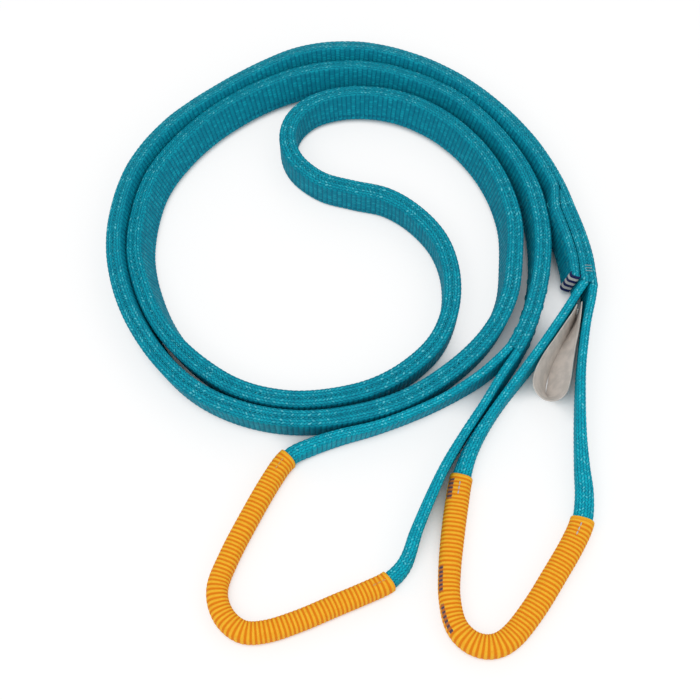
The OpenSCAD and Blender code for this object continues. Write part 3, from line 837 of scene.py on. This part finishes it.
def startMaterial(name, groupName, rimInput=None):
    material = bpy.data.materials.new(name)
    material.use_nodes = True
    tree = material.node_tree
    pattern = tree.nodes.new("ShaderNodeGroup")
    pattern.node_tree = groups[groupName]
    tree.links.new(weavePlace(tree), pattern.inputs["Place"])
    if rimInput:
        rim = tree.nodes.new("ShaderNodeAttribute")
        rim.attribute_name = "rim"
        tree.links.new(rim.outputs["Fac"], pattern.inputs[rimInput])
    return material, tree, pattern


def finishMaterial(tree, pattern, base, shiny, look, tint=(255, 255, 255)):
    shader = tree.nodes["Principled BSDF"]
    tree.links.new(base, shader.inputs["Base Color"])
    tree.links.new(blendValue(tree, shiny, *look["rough"]), shader.inputs["Roughness"])
    bump = tree.nodes.new("ShaderNodeBump")
    bump.inputs["Distance"].default_value = look["relief"]
    bump.inputs["Strength"].default_value = cloth["bump"]
    tree.links.new(pattern.outputs["Height"], bump.inputs["Height"])
    tree.links.new(bump.outputs[0], shader.inputs["Normal"])
    shader.inputs["Sheen Weight"].default_value = look["sheen"]
    shader.inputs["Sheen Roughness"].default_value = cloth["sheenRoughness"]
    shader.inputs["Sheen Tint"].default_value = colour(*tint)
    shader.inputs["Specular IOR Level"].default_value = cloth["specular"]


webLook = {"shade": (0.0, 0.5), "fleck": 0.8, "glintAt": (0.66, 0.98), "glint": 0.45,
           "wornAt": (0.35, 0.75), "worn": 0.25, "selvedge": 0.7, "rough": (0.68, 0.5),
           "relief": 0.0005, "sheen": 0.1}


def webMaterial(name, groove, body, fleck, glint, fleckLength=2.7):
    look = webLook
    material, tree, pattern = startMaterial(name, "web", "Rim")
    pattern.inputs["Fleck Length"].default_value = fleckLength
    bright = pattern.outputs["Bright"]
    # painted shade: the web is darkened towards the groove colour where the Height pattern is low, in
    # the grooves between ribs and between flecks
    base = mixColour(tree, ramp(tree, pattern.outputs["Height"], *look["shade"]), groove, body)
    base = mixColour(tree, times(tree, bright, look["fleck"]), base, fleck)
    # painted highlight: the brightest flecks are lightened towards the whitish glint colour
    base = mixColour(tree, times(tree, ramp(tree, bright, *look["glintAt"]), look["glint"]), base, glint)
    worn = times(tree, ramp(tree, pattern.outputs["Mottle"], *look["wornAt"]), look["worn"])
    dashes = times(tree, pattern.outputs["Selvedge"], look["selvedge"])
    base = mixColour(tree, calc(tree, "MAXIMUM", worn, dashes), base, groove)
    finishMaterial(tree, pattern, base, bright, look, fleck)
    return material


sleeveLook = {"soiledAt": (0.4, 0.8), "soiled": 0.25, "raggedNoise": (1.1, 2.0), "ragged": 1.2,
              "soft": 0.4, "ink": (0.35, 0.92), "rough": (0.75, 0.6), "relief": 0.0004, "sheen": 0.1}


def inkedBars(tree, bars):  # 1 inside the dashes, whose edges are a little ragged
    x, y = millimetres(tree, weavePlace(tree))
    soft = sleeveLook["soft"]
    ragged = calc(tree, "SUBTRACT", clouds(tree, x, y, *sleeveLook["raggedNoise"]), 0.5)
    ragged = times(tree, ragged, sleeveLook["ragged"])
    x, y = plus(tree, x, ragged), plus(tree, y, ragged)
    inked = 0.0
    for start, stop, low, high in bars:
        one = times(tree, ramp(tree, x, start, start + soft), ramp(tree, x, stop, stop - soft),
                    ramp(tree, y, low, low + soft), ramp(tree, y, high, high - soft))
        inked = calc(tree, "MAXIMUM", inked, one)
    return inked


def sleeveMaterial(name, groove, crown, ink=None, bars=()):
    # bars are plain dashes of size marks: start and stop along, low and high around, in mm
    look = sleeveLook
    material, tree, pattern = startMaterial(name, "sleeve", "Hem")
    onCrown = pattern.outputs["Crown"]
    # painted light and shade: the cords' crowns take the lighter orange and the grooves between them the
    # darker one
    base = mixColour(tree, onCrown, groove, crown)
    soiled = times(tree, ramp(tree, pattern.outputs["Mottle"], *look["soiledAt"]), look["soiled"])
    base = mixColour(tree, soiled, base, groove)
    if bars:
        inked = times(tree, inkedBars(tree, bars), blendValue(tree, onCrown, *look["ink"]))
        base = mixColour(tree, inked, base, ink)
    finishMaterial(tree, pattern, base, onCrown, look, crown)
    return material


threadLook = {"mottle": 0.3, "rough": (0.75, 0.55), "relief": 0.0002, "sheen": 0.1}


def threadMaterial(name, groove, crown):
    look = threadLook
    material, tree, pattern = startMaterial(name, "thread")
    height = pattern.outputs["Height"]
    # painted shade and highlight: each thread is darker in the grooves of its twist and lighter on its
    # crowns
    base = mixColour(tree, height, groove, crown)
    base = mixColour(tree, times(tree, pattern.outputs["Mottle"], look["mottle"]), base, groove)
    finishMaterial(tree, pattern, base, height, look)
    return material


tapeLook = {"mottleAt": (0.3, 0.7), "gaps": 0.2, "rough": (0.6, 0.5), "relief": 0.0001, "sheen": 0.05}


def tapeMaterial(name, low, high):
    look = tapeLook
    material, tree, pattern = startMaterial(name, "tape")
    cloudy = pattern.outputs["Mottle"]
    base = mixColour(tree, ramp(tree, cloudy, *look["mottleAt"]), low, high)
    # painted shade: the tape is darkened towards its low colour in the gaps between its threads
    gaps = times(tree, calc(tree, "SUBTRACT", 1, pattern.outputs["Height"]), look["gaps"])
    base = mixColour(tree, gaps, base, low)
    finishMaterial(tree, pattern, base, cloudy, look)
    return material


# In the web, sleeve and thread finishes the first colour is the darker groove tone, used as painted
# shade where the relief is low; the crown colours give painted light on the raised parts, and the web's
# fourth colour is a painted glint
orange = ((240, 134, 18), (255, 192, 50))
sizeBars = ((4, 20, -9, -4), (70, 90, -9, -4.5), (98, 118, -9, -5))
finishes = {made.name: made for made in (
    webMaterial("tealBodyWeb", (2, 98, 128), (0, 140, 164), (14, 188, 208), (150, 228, 236)),
    webMaterial("tealEyeWeb", (2, 104, 136), (0, 162, 186), (16, 200, 220), (160, 232, 240), 2.5),
    sleeveMaterial("orangeSleeveA", *orange),
    sleeveMaterial("orangeSleeveB", *orange, (38, 42, 92), sizeBars),
    tapeMaterial("labelTape", (202, 195, 188), (222, 213, 205)),
    threadMaterial("tealThread", (0, 92, 112), (20, 160, 176)),
    threadMaterial("darkThread", (16, 22, 62), (40, 50, 112)),
    threadMaterial("sleeveThread", (214, 140, 50), (246, 196, 120)),
    threadMaterial("faintThread", (70, 140, 156), (160, 190, 196)),
    threadMaterial("lightThread", (170, 168, 164), (226, 224, 220)),
)}
print("finishes mixed")


# ---- what each piece stands for, is made of and moves with ----
pieces = [
    (plyTwo, "body_ply_two", "teal_web", "tealBodyWeb", "coil"),
    (plyOne, "body_ply_one", "teal_web", "tealBodyWeb", "coil"),
    (lapTail, "lap_tail", "teal_web", "tealBodyWeb", "coil"),
    (spliceA, "splice_a_stitches", "teal_thread", "tealThread", "coil"),
    (spliceB, "splice_b_stitches", "teal_thread", "tealThread", "coil"),
    (whipDark, "end_whipping_dark", "dark_thread", "darkThread", "coil"),
    (whipLight, "end_whipping_light", "light_thread", "lightThread", "coil"),
    (tailEnd, "tail_end_binding", "dark_thread", "darkThread", "coil"),
    (crotchBTack, "crotch_b_tack", "light_thread", "faintThread", "coil"),
    (eyeAWeb, "eye_a_web", "teal_web", "tealEyeWeb", None),
    (eyeBWeb, "eye_b_web", "teal_web", "tealEyeWeb", None),
    (eyeASleeve, "eye_a_sleeve", "orange_sleeve", "orangeSleeveA", "eye_a"),
    (eyeBSleeve, "eye_b_sleeve", "orange_sleeve", "orangeSleeveB", "eye_b"),
    (sleeveATacks, "sleeve_a_tacks", "light_thread", "sleeveThread", "eye_a"),
    (sleeveBTacks, "sleeve_b_tacks", "light_thread", "lightThread", "eye_b"),
    (labelLoop, "label_strip", "label_tape", "labelTape", "label"),
    (labelBarTack, "label_bar_tack", "light_thread", "lightThread", "label"),
]
for piece, node, slotName, finish, body in pieces:
    piece.data.materials.clear()
    piece.data.materials.append(finishes[finish])
    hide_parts(node)
    if body:
        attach(piece, body)

# The webs of the eyes run from the coil to their eye; each has its placement baked into its vertices
for piece, eye in ((eyeAWeb, "a"), (eyeBWeb, "b")):
    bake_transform(piece)

print("pieces fixed to the frame")


# ---- floor and light ----
floor = {"size": 6, "gap": 0.0003, "white": 0.94, "glow": 1.12, "shadowShare": 0.36,
         "gapReach": 0.022, "gapShade": (0.2, 0.55)}
lamps = [("keyLamp", (-0.6, -1.0, 1.7), 1.1, 11.0), ("fillLamp", (1.1, -0.4, 1.3), 1.3, 3.5),
         ("backLamp", (0.2, 1.4, 1.2), 1.2, 2.5)]
ambient = 0.58


def makeFloor():
    bpy.ops.object.select_all(action="DESELECT")
    bpy.ops.mesh.primitive_plane_add(size=floor["size"], location=(0, 0, -floor["gap"]))
    made = bpy.context.object
    made.name = "floorPlane"
    material = bpy.data.materials.new("paleFloor")
    material.use_nodes = True
    tree = material.node_tree
    tree.nodes.remove(tree.nodes["Principled BSDF"])
    matt, glow = tree.nodes.new("ShaderNodeBsdfDiffuse"), tree.nodes.new("ShaderNodeEmission")
    matt.inputs["Color"].default_value = (floor["white"],) * 3 + (1,)
    glow.inputs["Strength"].default_value = floor["glow"]
    light = tree.nodes.new("ShaderNodeLightPath")
    seen = calc(tree, "MAXIMUM", light.outputs["Is Camera Ray"], light.outputs["Is Glossy Ray"])
    seen = calc(tree, "MAXIMUM", seen, light.outputs["Is Transmission Ray"])
    shelter = tree.nodes.new("ShaderNodeAmbientOcclusion")  # a narrow gap keeps its shade
    shelter.inputs["Distance"].default_value = floor["gapReach"]
    openness = ramp(tree, shelter.outputs["AO"], *floor["gapShade"])
    share = times(tree, seen, openness, 1 - floor["shadowShare"])
    blend = tree.nodes.new("ShaderNodeMixShader")
    for value, socket in ((share, 0), (matt.outputs[0], 1), (glow.outputs[0], 2)):
        tree.links.new(value, blend.inputs[socket])
    tree.links.new(blend.outputs[0], tree.nodes["Material Output"].inputs[0])
    made.data.materials.append(material)


def lightScene():
    world = bpy.context.scene.world or bpy.data.worlds.new("studio")
    bpy.context.scene.world = world
    world.use_nodes = True
    tree = world.node_tree
    background = tree.nodes["Background"]
    light = tree.nodes.new("ShaderNodeLightPath")
    strength = blendValue(tree, light.outputs["Is Camera Ray"], ambient, 1.0)
    tree.links.new(strength, background.inputs["Strength"])
    background.inputs["Color"].default_value = (1, 1, 1, 1)
    for name, place, size, power in lamps:
        bpy.ops.object.light_add(type="AREA", location=place)
        lamp = bpy.context.object
        lamp.name = name
        lamp.data.size = size
        lamp.data.energy = power
        lamp.rotation_euler = (-lamp.location).to_track_quat("-Z", "Y").to_euler()
    bpy.context.scene.view_settings.view_transform = "Standard"


makeFloor()
lightScene()
print("floor and lamps set")
